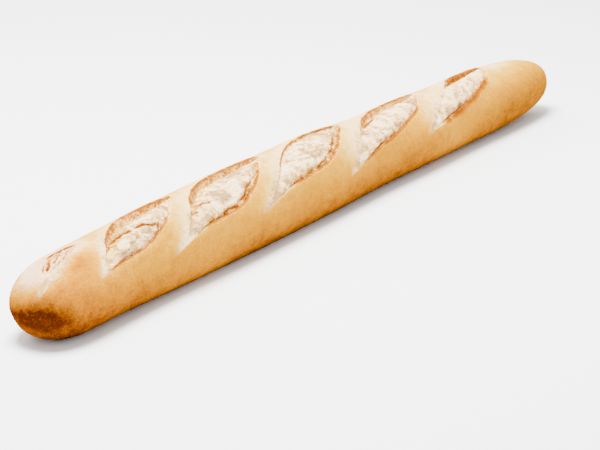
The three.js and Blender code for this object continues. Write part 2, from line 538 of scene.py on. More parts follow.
@dataclass(frozen=True)
class Slash:
    """A slanting cut that has opened in the oven.

    Attributes:
        x: Where the middle of its line is along the loaf.
        across: Where that is over the skin from the crest.
        length: From tip to tip, over the skin.
        heading: Its slant against the loaf's length, in degrees.
        near: Its edge on the -Y side.
        far: Its edge on the +Y side.
        shade: A number of its own, so that no two slashes tear alike.
        pale: How far the stretched, pale skin runs out from its far edge.
        soft: How far that skin runs out from its near edge.
        floury: How white its dough is, up to 1.
        folds: The torn ridges in its dough.
        WOBBLE: The unevenness of its edges' lines.
        WOBBLE_REACH: How far they stray.
        WOBBLE_RISE: The reaches over which they come to stray that far.
        SHADES_APART: How far apart in the noise two slashes are.
        SIDES_APART: How far from its line in the noise an edge is.
        OPENS: The shares of its length over which it opens.
        CLOSES: The shares over which it closes again.
    """

    x: float
    across: float
    length: float
    heading: float
    near: Edge
    far: Edge
    shade: int
    pale: float
    soft: float = 1.0
    floury: float = 1.0
    folds: tuple[Fold, ...] = ()

    WOBBLE = Ripple(TEAR, size=9.0, layers=3)
    WOBBLE_REACH = 0.55
    WOBBLE_RISE = (1.0, 5.0)
    SHADES_APART = 70.0
    SIDES_APART = 40.0
    OPENS = (0.0, 0.22)
    CLOSES = (1.0, 0.93)

    @property
    def edges(self) -> dict[Side, Edge]:
        """The two edges by side."""
        return {Side.NEAR: self.near, Side.FAR: self.far}

    @property
    def slant(self) -> tuple[float, float]:
        """The cosine and the sine of its heading."""
        heading = math.radians(self.heading)
        return math.cos(heading), math.sin(heading)

    def uneven(self, ripple: Ripple, run: Values, offset: Values) -> Values:
        """A ripple's heights at distances along the slash and off its line."""
        apart = np.full(len(run), self.SHADES_APART * self.shade)
        return ripple.at(np.column_stack((run / ripple.stretch, offset, apart)))

    def reach_at(self, side: Side, along: Values) -> Values:
        """How far the torn edge lies from the slash's line, with its unevenness."""
        smooth = self.edges[side].reach_at(along)
        row = np.full(len(along), self.SIDES_APART * side.value)
        wobble = self.WOBBLE_REACH * self.uneven(self.WOBBLE, along * self.length, row)
        return np.maximum(smooth + wobble * smooth_step(smooth, *self.WOBBLE_RISE), 0.0)

    def place(self, x: Values, across: Values) -> Place:
        """Where points of the pattern lie in this slash."""
        cosine, sine = self.slant
        run = (x - self.x) * cosine - (across - self.across) * sine
        offset = (x - self.x) * sine + (across - self.across) * cosine
        along = run / self.length + 0.5
        inner = np.clip(along, 0.0, 1.0)
        near = offset > 0.0
        reach = np.where(near, self.reach_at(Side.NEAR, inner), self.reach_at(Side.FAR, inner))
        past = np.maximum(np.abs(along - 0.5) - 0.5, 0.0) * self.length
        outside = np.where(past > 0.0, np.hypot(past, offset), np.abs(offset) - reach)
        strength = window(inner, self.OPENS, self.CLOSES)
        wall = np.where(near, self.near.wall_at(reach), self.far.wall_at(reach))
        return Place(self.edges, along, run, offset, near, reach, outside, wall, strength)

    def on_pattern(self, run: Values, offset: Values) -> tuple[Values, Values]:
        """The pattern's x and across at distances along the slash and off its line."""
        cosine, sine = self.slant
        return self.x + run * cosine + offset * sine, self.across - run * sine + offset * cosine


def lip(*reaches: float, **changes: float) -> Edge:
    """A near edge: low, thin and toasted along its crest."""
    sizes = {
        "lip": 0.9, "overhang": 0.5, "toast": 0.8, "band": 0.95, "wall": 1.7, "depth": 2.2,
        "wall_toast": 0.6, "opens": 0.1, "torn": 2.2, "browned_from": 0.05, "browned_to": 0.85,
    }
    return Edge(reaches=reaches, **(sizes | changes))


def ear(*reaches: float, **changes: float) -> Edge:
    """A far edge: torn up higher, over a wall of torn crumb."""
    sizes = {
        "lip": 1.5, "overhang": 0.4, "toast": 0.9, "band": 0.8, "wall": 2.6, "depth": 3.2,
        "wall_toast": 0.15, "opens": 0.2, "torn": 3.4, "browned_from": 0.2, "browned_to": 0.97,
    }
    return Edge(reaches=reaches, **(sizes | changes))


SLASHES = (
    Slash(
        x=-270.0, across=6.5, length=57.0, heading=23.9, shade=1, pale=14.0, soft=4.5, floury=0.62,
        near=lip(
            0.8, 3.0, 3.2, 2.6, 2.0, 1.4, 0.8, lip=0.2, toast=0.1, wall_toast=0.0, depth=0.5, torn=1.0,
        ),
        far=ear(
            4.4, 10.0, 13.2, 13.6, 12.2, 9.4, 5.4,
            lip=0.5, wall=1.4, depth=0.9, opens=0.6, browned_from=0.5,
        ),
        folds=(
            Fold((0.22, -10.4), (0.42, -11.6), 1.5, 1.8, 1.0),
            Fold((0.3, -7.6), (0.62, -11.0), 1.7, 1.8, 1.0),
            Fold((0.4, -4.8), (0.74, -7.6), 1.4, 1.6, 0.8),
            Fold((0.28, -3.4), (0.56, -2.6), 1.1, 1.3, 0.5),
            Fold((0.52, -0.6), (0.84, -3.6), 1.0, 1.2, 0.5),
            Fold((0.7, -9.8), (0.92, -5.2), 1.0, 1.3, 0.9),
        ),
    ),
    Slash(
        x=-200.5, across=12.0, length=115.0, heading=18.3, shade=2, pale=7.0,
        near=lip(2.3, 6.0, 8.9, 10.0, 9.4, 7.0, 3.8, browned_from=0.0, browned_to=0.75),
        far=ear(8.0, 14.5, 17.5, 18.8, 16.2, 11.5, 5.4, depth=3.8, opens=0.14, torn=9.0, browned_from=0.12),
        folds=(
            Fold((0.24, -14.0), (0.45, -5.2), 1.7, 1.7, 0.85),
            Fold((0.45, -6.0), (0.59, 6.0), 1.4, 1.4, 1.0),
            Fold((0.5, 9.2), (0.62, 5.0), 0.8, 1.2, 0.9),
            Fold((0.17, -10.5), (0.26, -10.5), 0.8, 1.4, 0.8),
            Fold((0.3, -0.8), (0.42, 2.0), 0.7, 1.2, 0.45),
            Fold((0.19, -0.5), (0.3, 2.2), 0.6, 1.1, 0.4),
        ),
    ),
    Slash(
        x=-118.5, across=16.5, length=144.0, heading=17.4, shade=3, pale=8.5,
        near=lip(0.3, 2.8, 8.0, 11.4, 11.0, 8.0, 4.2, torn=4.5, toast=0.75, browned_from=0.15),
        far=ear(6.0, 14.0, 19.6, 21.2, 19.2, 14.4, 8.2, depth=3.6, opens=0.24, torn=5.5, wall_toast=0.1),
        folds=(
            Fold((0.3, -13.5), (0.39, -5.5), 1.2, 1.5, 0.75),
            Fold((0.2, -11.7), (0.28, -8.0), 0.9, 1.3, 0.7),
            Fold((0.5, 8.2), (0.72, 5.0), 1.0, 1.5, 0.7),
            Fold((0.36, 4.2), (0.5, 7.8), 0.8, 1.5, 0.6),
            Fold((0.5, -3.4), (0.58, -1.2), 0.6, 1.1, 0.4),
        ),
    ),
    Slash(
        x=-28.0, across=17.0, length=144.0, heading=16.9, shade=4, pale=7.0,
        near=lip(0.6, 3.0, 6.8, 10.8, 12.2, 9.6, 5.6, torn=4.5, browned_from=0.2, browned_to=0.95),
        far=ear(
            4.6, 9.8, 15.0, 17.8, 18.6, 15.0, 8.6,
            lip=0.9, toast=0.65, band=0.6, wall=1.3, depth=1.4, wall_toast=0.05, opens=0.22, torn=1.5,
        ),
        folds=(
            Fold((0.48, 7.6), (0.62, 9.0), 0.9, 1.4, 0.65),
            Fold((0.62, 8.4), (0.8, 4.3), 0.9, 1.5, 0.7),
            Fold((0.36, -11.5), (0.42, -5.6), 0.8, 1.2, 0.45),
            Fold((0.42, -6.1), (0.56, 3.8), 0.8, 1.3, 0.45),
            Fold((0.72, -1.0), (0.82, 4.6), 0.5, 1.0, 0.6),
        ),
    ),
    Slash(
        x=74.0, across=17.5, length=142.0, heading=19.3, shade=5, pale=13.0,
        near=lip(0.4, 2.7, 5.9, 8.3, 9.9, 10.1, 6.6, band=1.8, toast=0.9, browned_to=0.82),
        far=ear(
            7.0, 15.0, 18.6, 20.2, 19.4, 15.0, 8.0,
            wall_toast=0.05, opens=0.3, torn=5.0, browned_from=0.3,
        ),
        folds=(
            Fold((0.34, -15.5), (0.56, -14.5), 1.2, 1.5, 0.85),
            Fold((0.28, -1.5), (0.34, 0.4), 0.7, 1.2, 0.45),
            Fold((0.38, -3.6), (0.46, 2.2), 0.7, 1.2, 0.4),
        ),
    ),
    Slash(
        x=172.5, across=15.5, length=132.0, heading=19.0, shade=6, pale=14.0,
        near=lip(
            3.0, 5.8, 8.2, 10.0, 10.2, 9.8, 7.4,
            lip=1.2, toast=1.0, band=3.4, browned_from=0.1, browned_to=0.82,
        ),
        far=ear(
            5.0, 9.6, 12.8, 14.6, 15.6, 13.4, 7.6,
            band=1.2, wall_toast=0.7, opens=0.55, browned_from=0.5,
        ),
        folds=(Fold((0.4, -4.0), (0.52, 1.5), 0.5, 1.2, 0.3),),
    ),
)


@dataclass(frozen=True)
class Scorch:
    """A patch of crust that the oven has coloured more, or less.

    Attributes:
        x: Where its middle is along the loaf.
        across: Where that is over the skin from the crest.
        run: How far it fades out along the loaf.
        spread: How far it fades out around it.
        bake: Its extra bake.
    """

    x: float
    across: float
    run: float
    spread: float
    bake: float

    def at(self, form: LoafForm, points: Values) -> Values:
        """Its extra bake at points of the smooth form."""
        aside = points - form.smooth(np.array([self.x]), np.array([self.across]))
        around = hump(np.hypot(aside[:, 1], aside[:, 2]), 0.0, self.spread)
        return self.bake * hump(aside[:, 0], 0.0, self.run) * around


@dataclass(frozen=True)
class Bake:
    """How the oven has coloured the skin, from 0, raw and pale, to 1, the deepest brown. Its darkening
    towards the base is partly the oven's browning and partly painted shade on the loaf's low side.

    Attributes:
        heights: Heights over the seat.
        bake_and_shade_levels: The bake at each of them. It grows towards the base partly as real browning
            and partly as painted shade on the low side.
        near_end: Extra bake of the near end, low down.
        near_reach: How far that runs along the loaf.
        near_height: The height where it is strongest.
        near_spread: How far it fades out above and below.
        stretch: How much paler the skin is that a slash has stretched, beside its far edge.
        end_share: How much of that paleness there is past a slash's upper end.
        glow: Extra bake of the crust beside a near edge.
        glow_reach: How far that runs.
        scorches: The crust's darker and paler patches.
        STRETCH_RISE: The shares of a slash's length over which the paler skin beside it starts.
        STRETCH_FALL: The shares over which it ends.
        END_REACH: How far that skin runs past the upper end, as a share of how far it runs beside.
        GLOW_RISE: The shares of a slash's length over which the glow starts.
        GLOW_FALL: The shares over which it ends.
        GLOW_PEAK: How far from the edge the glow is strongest.
    """

    heights: tuple[float, ...] = (0.0, 6.0, 12.0, 18.0, 24.0, 30.0, 36.0, 42.0, 48.0, 52.0)
    bake_and_shade_levels: tuple[float, ...] = (0.98, 0.89, 0.83, 0.74, 0.63, 0.52, 0.43, 0.34, 0.26, 0.22)
    near_end: float = 0.23
    near_reach: float = 15.0
    near_height: float = 20.5
    near_spread: float = 8.0
    stretch: float = 0.26
    end_share: float = 0.7
    glow: float = 0.1
    glow_reach: float = 7.0
    scorches: tuple[Scorch, ...] = (
        Scorch(-298.0, 12.0, 18.0, 15.0, 0.24),
        Scorch(-282.0, 34.0, 26.0, 17.0, 0.13),
        Scorch(-278.0, 62.0, 18.0, 11.0, 0.04),
        Scorch(-286.0, -12.0, 20.0, 14.0, -0.36),
        Scorch(-261.0, 14.0, 20.0, 10.0, 0.32),
        Scorch(-155.0, 58.0, 38.0, 14.0, -0.12),
        Scorch(88.0, 38.0, 34.0, 14.0, 0.09),
        Scorch(142.0, 54.0, 28.0, 22.0, -0.1),
        Scorch(225.0, 34.0, 30.0, 17.0, 0.19),
        Scorch(275.0, 30.0, 28.0, 19.0, 0.2),
        Scorch(212.0, 16.0, 11.0, 8.0, -0.14),
        Scorch(245.0, -2.0, 22.0, 9.0, -0.3),
    )

    STRETCH_RISE = (-0.06, 0.1)
    STRETCH_FALL = (1.0, 0.75)
    END_REACH = 0.5
    GLOW_RISE = (0.1, 0.4)
    GLOW_FALL = (0.85, 0.65)
    GLOW_PEAK = 2.0

    def at(self, form: LoafForm, points: Values) -> Values:
        """The bake at points of the smooth form."""
        x, height = points[:, 0], points[:, 2]
        near = hump(x, -form.length / 2.0, self.near_reach)
        near *= hump(height, self.near_height, self.near_spread)
        patches = sum(scorch.at(form, points) for scorch in self.scorches)
        # Painted shade: this level darkens towards the base, partly the oven's browning and partly the low
        # side's shade painted into the crust.
        level = np.interp(height, self.heights, self.bake_and_shade_levels)
        return level + self.near_end * near + patches

    def stretched(self, slash: Slash, place: Place) -> Values:
        """How much paler the skin is beside a slash's far edge and past its upper end."""
        along = window(place.along, self.STRETCH_RISE, self.STRETCH_FALL)
        beside = hump(place.beyond, 0.0, np.where(place.near, slash.soft, slash.pale))
        from_end = np.hypot(place.run - slash.length / 2.0, place.offset)
        past = self.end_share * hump(from_end, 0.0, slash.pale * self.END_REACH)
        return self.stretch * np.maximum(along * beside, past)

    def glowing(self, place: Place) -> Values:
        """How much more the crust is baked beside a slash's near edge."""
        along = window(place.along, self.GLOW_RISE, self.GLOW_FALL)
        on_crust = place.near & (place.outside > 0.0)
        glow = hump(place.outside, self.GLOW_PEAK, self.glow_reach)
        return self.glow * along * np.where(on_crust, glow, 0.0)


@dataclass
class SkinShape:
    """The finished skin at some places of its pattern.

    Attributes:
        points: Its points in millimetres, one row each.
        masks: Shares from 0 to 1 that the finish reads, by name.
    """

    points: Values
    masks: dict[str, Values]


@dataclass(frozen=True)
class Dough:
    """The opened dough between a slash's walls.

    Attributes:
        crown: How far it swells above the skin in the middle.
        hills: The height of its broad hills.
        pillows: The height of the pillows on them.
        pits: The height of its finest roughness.
        toast: How strongly the creases between the pillows are browned, which is painted shade laid into
            the creases and low hollows.
        HILLS: The unevenness of the hills.
        PILLOWS: The unevenness of the pillows.
        PITS: The finest roughness.
        LEAST_ROOM: The narrowest bed between two walls.
        DEEPENS: The reaches over which the bed gets its full depth.
        SETTLES: How far down the wall, and below it, the dough gets its roughness.
        ROUGHENS: The reaches over which it gets its roughness.
        CREASE_SHADE: The pillows' depths over which a crease is browned as painted shade.
        HOLLOW_SHADE: The hills' heights over which that painted shade sets in.
    """

    crown: float = 0.6
    hills: float = 0.6
    pillows: float = 0.6
    pits: float = 0.2
    toast: float = 0.5

    HILLS = Ripple(GRAIN, size=13.0, layers=2, stretch=1.5)
    PILLOWS = Ripple(GRAIN, size=6.5, layers=3, stretch=1.7, creased=True)
    PITS = Ripple(GRAIN, size=2.4, layers=2)
    LEAST_ROOM = 0.1
    DEEPENS = (0.0, 7.0)
    SETTLES = (0.4, 1.3)
    ROUGHENS = (0.0, 4.0)
    CREASE_SHADE = (0.5, 0.95)
    HOLLOW_SHADE = (0.3, -0.4)

    def fill(self, slash: Slash, place: Place, opened: Values) -> tuple[Values, Values]:
        """Fills a slash.

        Args:
            slash: The slash.
            place: Where some points lie in it.
            opened: How far its walls have opened there.

        Returns:
            The dough's heights over the smooth skin, and its shares of browning: painted shade in its
            creases and hollows, and its folds' browned cracks.
        """
        room = np.maximum(place.reach - place.wall, self.LEAST_ROOM)
        inwards = np.clip((-place.outside - place.wall) / room, 0.0, 1.0)
        depth = place.pick("depth") * opened * smooth_step(place.reach, *self.DEEPENS)
        swell = (depth + self.crown) * (1.0 - (1.0 - inwards) ** 2) - depth
        ripples = (self.HILLS, self.PILLOWS, self.PITS)
        hills, pillows, pits = (slash.uneven(ripple, place.run, place.offset) for ripple in ripples)
        rough = self.hills * hills + self.pillows * pillows + self.pits * pits
        settled = smooth_step(place.depth_share, *self.SETTLES) * smooth_step(place.reach, *self.ROUGHENS)
        height = swell + rough * settled
        # Painted shade: the creases between the pillows, deepest in the hollows, get the toast's brown.
        browned = self.toast * smooth_step(-pillows, *self.CREASE_SHADE) * smooth_step(hills, *self.HOLLOW_SHADE)
        for fold in slash.folds:
            ridge, crack = fold.shape(slash, place)
            height = height + ridge * settled
            browned = np.maximum(browned, crack * settled)
        return height * place.strength, browned * settled


@dataclass(frozen=True)
class Tearing:
    """How the skin tears along a slash: its lips, its walls and what they show.

    Attributes:
        lip_reach: How far back from an edge a lip swells the crust.
        lean_reach: How far back from an edge a lip leans.
        shallow: A wall's depth and its lip before it opens, as shares of the full ones.
        wall_steps: Steps from a wall's edge to its foot.
        wall_drops: How far down the wall is at each step.
        wall_leans: How far it leans in there, as a share of the overhang.
        ragged_lip: How much a lip's height varies.
        ragged_lean: How much its overhang varies.
        ragged_toast: How much its browning varies.
        ragged_wall: How much the wall's browning varies.
        ragged_crumb: How much the breadth of the torn crumb varies.
        streak_reach: How far the pale streak at a slash's tail runs out over the crust.
        streak_floury: How white that streak is.
        RAGGED: The unevenness of the lips.
        EDGES_APART: How far apart in the noise the two lips are.
        PATCHES: The unevenness of the walls.
        PATCH_SQUEEZE: How much narrower than long its patches are.
        OPENS: The shares of the slash's length over which a wall opens, before and after its "opens".
        FOOT: The depths down the wall over which its lean ends.
        BROWNING_STARTS: Such shares for the browning, round its "browned_from".
        BROWNING_ENDS: The same round its "browned_to".
        CREST: Where a lip is browned most, from its edge.
        CREST_BREADTH: How far that runs into the opening.
        CREST_TOAST: The browning of an even lip.
        WALL_TOP: How far down a wall its colours set in.
        WALL_FOOT: How far down they end.
        CRUMB_EDGE: The distances round its "torn" over which the torn crumb ends.
        CRUMB_STARTS: The shares round its "browned_from" over which the crumb starts to show.
        CRUMB_ENDS: The shares of the slash's length over which it ends.
        TAIL_RISE: The shares over which the slash's tail starts.
        TAIL_FALL: The shares over which it ends.
        STREAK_EDGE: How far out over the crust the streak keeps its white.
        DOUGH_TOP: How far down a wall the dough's white sets in.
        DOUGH_REACH: The reaches over which it does.
        TORN: How far out over the crust it is torn and has no blisters.
    """

    lip_reach: float = 6.0
    lean_reach: float = 2.5
    shallow: float = 0.15
    wall_steps: tuple[float, ...] = (0.0, 0.2, 0.45, 0.7, 1.0)
    wall_drops: tuple[float, ...] = (0.0, 0.12, 0.45, 0.85, 1.0)
    wall_leans: tuple[float, ...] = (1.0, 1.1, 0.1, -0.8, -0.7)
    ragged_lip: float = 0.3
    ragged_lean: float = 0.5
    ragged_toast: float = 0.5
    ragged_wall: float = 0.6
    ragged_crumb: float = 0.5
    streak_reach: float = 5.5
    streak_floury: float = 0.8

    RAGGED = Ripple(TEAR, size=7.0, layers=3)
    EDGES_APART = 25.0
    PATCHES = Ripple(TEAR, size=4.0, layers=3)
    PATCH_SQUEEZE = 4.0
    OPENS = (-0.12, 0.12)
    FOOT = (2.2, 1.0)
    BROWNING_STARTS = (0.0, 0.12)
    BROWNING_ENDS = (0.03, -0.07)
    CREST = -0.1
    CREST_BREADTH = 0.7
    CREST_TOAST = 0.95
    WALL_TOP = (0.1, 0.4)
    WALL_FOOT = (1.7, 1.0)
    CRUMB_EDGE = (0.8, -0.8)
    CRUMB_STARTS = (-0.1, 0.1)
    CRUMB_ENDS = (1.0, 0.92)
    TAIL_RISE = (-0.05, 0.06)
    TAIL_FALL = (0.42, 0.12)
    STREAK_EDGE = 1.5
    DOUGH_TOP = (0.0, 0.3)
    DOUGH_REACH = (0.0, 1.2)
    TORN = (1.0, 4.0)

    def opened(self, place: Place) -> Values:
        """How far the walls and lips have opened."""
        return blend(self.shallow, 1.0, smooth_step(place.along - place.pick("opens"), *self.OPENS))

    def ragged(self, slash: Slash, place: Place) -> Values:
        """How the lips vary along the slash."""
        return slash.uneven(self.RAGGED, place.run, np.sign(place.offset) * self.EDGES_APART)

    def relief(self, slash: Slash, place: Place, bed: Values) -> tuple[Values, Values]:
        """How high the skin stands, and how far it leans across the slash.

        Args:
            slash: The slash.
            place: Where some points lie in it.
            bed: The height of its dough there.

        Returns:
            Heights over the smooth skin, and distances across the slash.
        """
        ragged = self.ragged(slash, place)
        full = self.opened(place)
        raised = place.pick("lip") * full * place.strength * (1.0 + self.ragged_lip * ragged)
        overhang = place.pick("overhang") * full * place.strength * (1.0 + self.ragged_lean * ragged)
        down = np.clip(place.depth_share, 0.0, 1.0)
        drop = np.interp(down, self.wall_steps, self.wall_drops)
        lean = np.interp(down, self.wall_steps, self.wall_leans)
        lean *= smooth_step(place.depth_share, *self.FOOT)
        swollen = raised * hump(place.beyond, 0.0, self.lip_reach)
        height = np.where(place.inside, blend(raised, bed, drop), swollen)
        leaning = overhang * np.where(place.inside, lean, hump(place.beyond, 0.0, self.lean_reach))
        return height, -leaning * np.sign(place.offset)

    def masks(self, slash: Slash, place: Place) -> dict[str, Values]:
        """The shares that the finish reads, by name.

        Args:
            slash: The slash.
            place: Where some points lie in it.

        Returns:
            Dough, tail, wall, toast and torn.
        """
        start = place.along - place.pick("browned_from")
        end = place.along - place.pick("browned_to")
        patches = slash.uneven(self.PATCHES, place.run, place.offset * self.PATCH_SQUEEZE)
        breadth = np.where(place.inside, self.CREST_BREADTH, place.pick("band"))
        crest = hump(place.outside, self.CREST, breadth)
        even = self.CREST_TOAST + self.ragged_toast * self.ragged(slash, place)
        crest *= place.pick("toast") * np.clip(even, 0.0, 1.0)
        wall = window(place.depth_share, self.WALL_TOP, self.WALL_FOOT)
        wall = wall * np.clip(place.pick("wall_toast") + self.ragged_wall * patches, 0.0, 1.0)
        toast = smooth_step(start, *self.BROWNING_STARTS) * smooth_step(end, *self.BROWNING_ENDS)
        inwards = -place.outside - place.pick("torn") * (1.0 + self.ragged_crumb * patches)
        crumb = smooth_step(place.depth_share, *self.WALL_TOP) * smooth_step(inwards, *self.CRUMB_EDGE)
        crumb = crumb * smooth_step(start, *self.CRUMB_STARTS) * smooth_step(place.along, *self.CRUMB_ENDS)
        tail = window(place.along, self.TAIL_RISE, self.TAIL_FALL)
        out = smooth_step(place.beyond, self.streak_reach, self.STREAK_EDGE)
        streak = tail * np.where(place.near, place.inside, out)
        dough = smooth_step(place.depth_share, *self.DOUGH_TOP)
        dough = dough * smooth_step(place.reach, *self.DOUGH_REACH)
        return {
            "dough": slash.floury * np.maximum(dough, self.streak_floury * streak),
            "tail": tail,
            "wall": crumb,
            "toast": toast * np.maximum(crest, wall),
            "torn": 1.0 - smooth_step(place.outside, *self.TORN),
        }


@dataclass(frozen=True)
class Skin:
    """The loaf's skin: its smooth form, its slashes, its lumps and its bake.

    Attributes:
        form: The smooth form.
        slashes: The cuts in it.
        tearing: How it tears along them.
        dough: What fills them.
        bake: How it is coloured.
        lump_height: The height of the crust's slow lumps.
        pore_height: The height of its fine roughness.
        far_blisters: How many blisters the far end has for each one of the near end's.
        blush: Where the crust's colour starts to turn towards the near end's, and where it has.
        BROAD: The lengths of the broad lumps, along the loaf and across it.
        SLANTING: The lengths of the slanting ones.
        LUMP_START: Where the broad lumps start.
        SLANT_SHARE: How high the slanting ones are beside them.
        TOP: The height round the section, from -1 to 1, over which the skin gets its relief.
        FULL: The girths over which it does.
        PORE_SIZE: The breadth of a pore.
        PORE_LAYERS: How many finer layers of pores there are.
        PORE_FULL: The girths over which the pores get their depth.
        BLISTER_BAKE: The bakes over which blisters come up.
        BLISTER_FADE: Where along the loaf they become more.
    """

    form: LoafForm
    slashes: tuple[Slash, ...] = SLASHES
    tearing: Tearing = Tearing()
    dough: Dough = Dough()
    bake: Bake = Bake()
    lump_height: float = 0.5
    pore_height: float = 0.07
    far_blisters: float = 0.35
    blush: Span = (-200.0, -285.0)

    BROAD = (31.0, 17.0)
    SLANTING = (19.0, 11.0)
    LUMP_START = 1.3
    SLANT_SHARE = 0.6
    TOP = (-0.6, 0.0)
    FULL = (0.0, 0.7)
    PORE_SIZE = 5.0
    PORE_LAYERS = 2
    PORE_FULL = (0.0, 0.4)
    BLISTER_BAKE = (0.38, 0.6)
    BLISTER_FADE = (40.0, -180.0)

    def _lumps(self, x: Values, across: Values) -> Values:
        """Slow unevenness of the whole crust."""
        broad = np.sin(x / self.BROAD[0] + self.LUMP_START) * np.cos(across / self.BROAD[1])
        slanting = np.sin(x / self.SLANTING[0] - across / self.SLANTING[1])
        return self.lump_height * (broad + self.SLANT_SHARE * slanting)

    def _slash(self, slash: Slash, x: Values, across: Values) -> tuple[Values, Values, dict[str, Values]]:
        """What one slash does to the skin: its height, its lean and its masks."""
        place = slash.place(x, across)
        bed, browned = self.dough.fill(slash, place, self.tearing.opened(place))
        height, lean = self.tearing.relief(slash, place, bed)
        masks = self.tearing.masks(slash, place)
        # The toast mask also takes the painted shade of the dough's creases.
        masks["toast"] = np.maximum(masks["toast"], browned)
        masks["stretched"] = self.bake.stretched(slash, place)
        masks["glowing"] = self.bake.glowing(place)
        return height, lean, masks

    def shape(self, x: Values, across: Values) -> SkinShape:
        """The finished skin at places of its pattern."""
        height = self._lumps(x, across)
        x_lean, across_lean = np.zeros(len(x)), np.zeros(len(x))
        masks: dict[str, Values] = {}
        for slash in self.slashes:
            raised, lean, shares = self._slash(slash, x, across)
            height = height + raised
            x_lean += lean * slash.slant[1]
            across_lean += lean * slash.slant[0]
            masks = {name: np.maximum(share, masks.get(name, 0.0)) for name, share in shares.items()}
        girth = self.form.girth_at(x)
        fading = smooth_step(np.cos(across / self.form.radius), *self.TOP) * smooth_step(girth, *self.FULL)
        x_leant, across_leant = x + x_lean * fading, across + across_lean * fading
        smooth = self.form.smooth(x_leant, across_leant)
        pores = self.pore_height * GRAIN.layered(smooth, self.PORE_SIZE, self.PORE_LAYERS)
        pores = pores * smooth_step(girth, *self.PORE_FULL)
        height = height * fading + pores * (1.0 - masks["dough"])
        points = smooth + self.form.outward(x_leant, across_leant) * height[:, None]
        points[:, 2] = np.maximum(points[:, 2], 0.0)
        # The bake mask carries painted shade on the low side along with the oven's browning.
        baked = self.bake.at(self.form, smooth)
        masks["bake"] = baked + masks.pop("glowing") - masks.pop("stretched")
        masks["blush"] = smooth_step(x, *self.blush)
        masks["blistered"] = (1.0 - masks.pop("torn")) * smooth_step(masks["bake"], *self.BLISTER_BAKE)
        masks["blistered"] *= blend(self.far_blisters, 1.0, smooth_step(x, *self.BLISTER_FADE))
        return SkinShape(points, {name: np.clip(mask, 0.0, 1.0) for name, mask in masks.items()})


